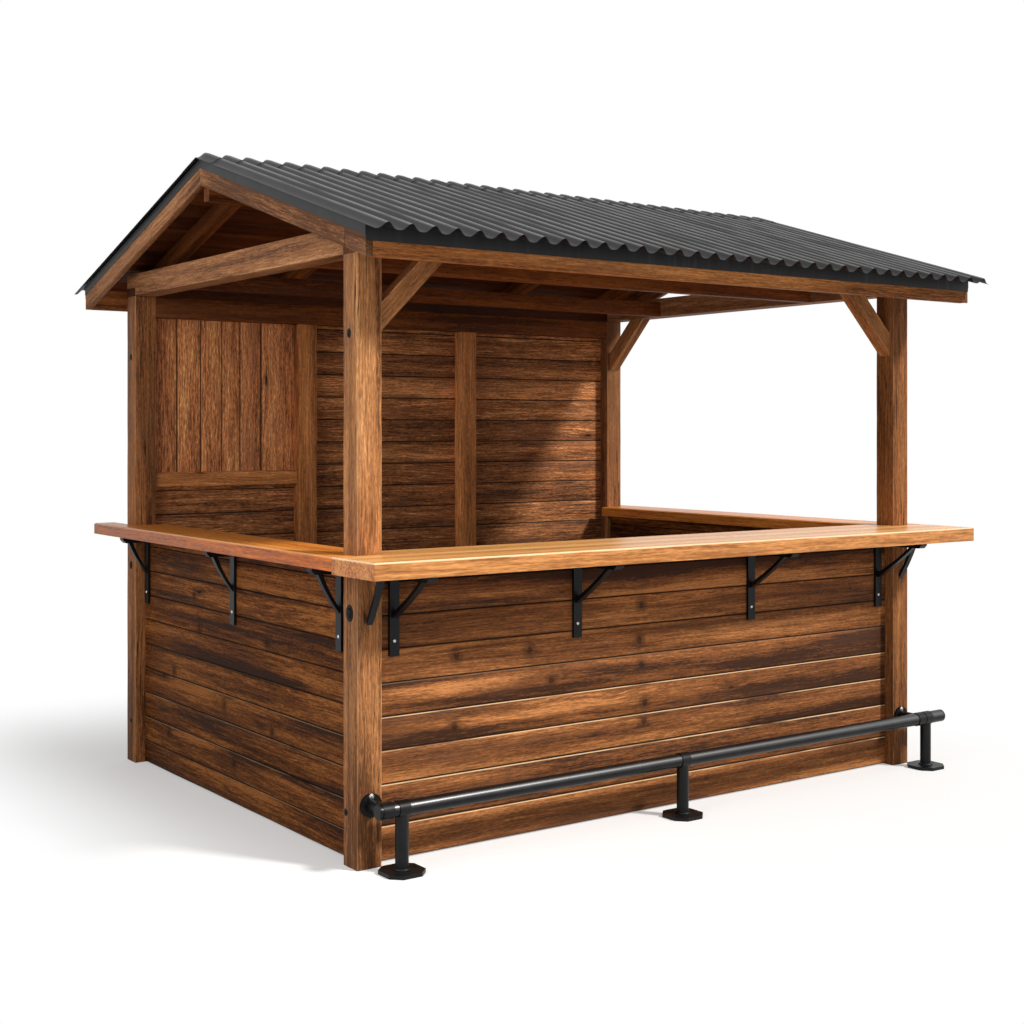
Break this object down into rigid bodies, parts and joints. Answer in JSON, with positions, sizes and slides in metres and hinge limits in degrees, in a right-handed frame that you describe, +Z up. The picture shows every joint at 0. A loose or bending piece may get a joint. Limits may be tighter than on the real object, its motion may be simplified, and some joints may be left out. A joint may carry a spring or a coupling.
{
  "type": "wooden market stall",
  "caption": "Timber bar stall with boarded walls, counters on three sides, iron brackets, a foot rail and a corrugated gable roof.",
  "frame": {"origin": "centre of the roof's footprint, at ground level", "axes": "+X along the front counter to the right as seen from the front, +Y to the back wall, +Z up"},
  "size_m": [3.17, 2.881, 2.6641],
  "materials": {
    "frame_timber": "oiled, open grain",
    "roof_timber": "oiled, open grain",
    "wall_boards": "dark stained, open grain",
    "counter_timber": "satin varnish",
    "roof_metal": "matt coated",
    "black_iron": "satin"
  },
  "bodies": {
    "root": {"post_front_left": "frame_timber", "post_front_right": "frame_timber", "post_rear_left": "frame_timber", "post_rear_right": "frame_timber", "rear_studs": "frame_timber", "rear_top_rail": "frame_timber", "sill_rail": "frame_timber", "wall_plate_front": "frame_timber", "wall_plate_rear": "frame_timber", "tie_beam_left": "frame_timber", "tie_beam_right": "frame_timber", "ceiling_joist_front": "frame_timber", "ceiling_joist_rear": "frame_timber", "ridge_beam": "frame_timber", "front_rafters": "frame_timber", "rear_rafters": "frame_timber", "front_knee_braces": "frame_timber", "rear_knee_brace": "frame_timber", "front_roof_boards": "roof_timber", "rear_roof_boards": "roof_timber", "front_fascia": "roof_timber", "rear_fascia": "roof_timber", "left_barge_boards": "roof_timber", "right_barge_boards": "roof_timber", "front_panel": "wall_boards", "left_panel": "wall_boards", "right_panel": "wall_boards", "back_wall": "wall_boards", "upright_panel": "wall_boards", "counter_front": "counter_timber", "counter_left": "counter_timber", "counter_right": "counter_timber", "front_roof_sheet": "roof_metal", "rear_roof_sheet": "roof_metal", "ridge_cap": "roof_metal", "left_verge_trim": "roof_metal", "right_verge_trim": "roof_metal", "front_eave_trim": "roof_metal", "rear_eave_trim": "roof_metal", "front_brackets": "black_iron", "left_brackets": "black_iron", "right_brackets": "black_iron", "foot_rail": "black_iron", "rail_stanchions": "black_iron", "rail_flanges": "black_iron"}
  },
  "joints": []
}
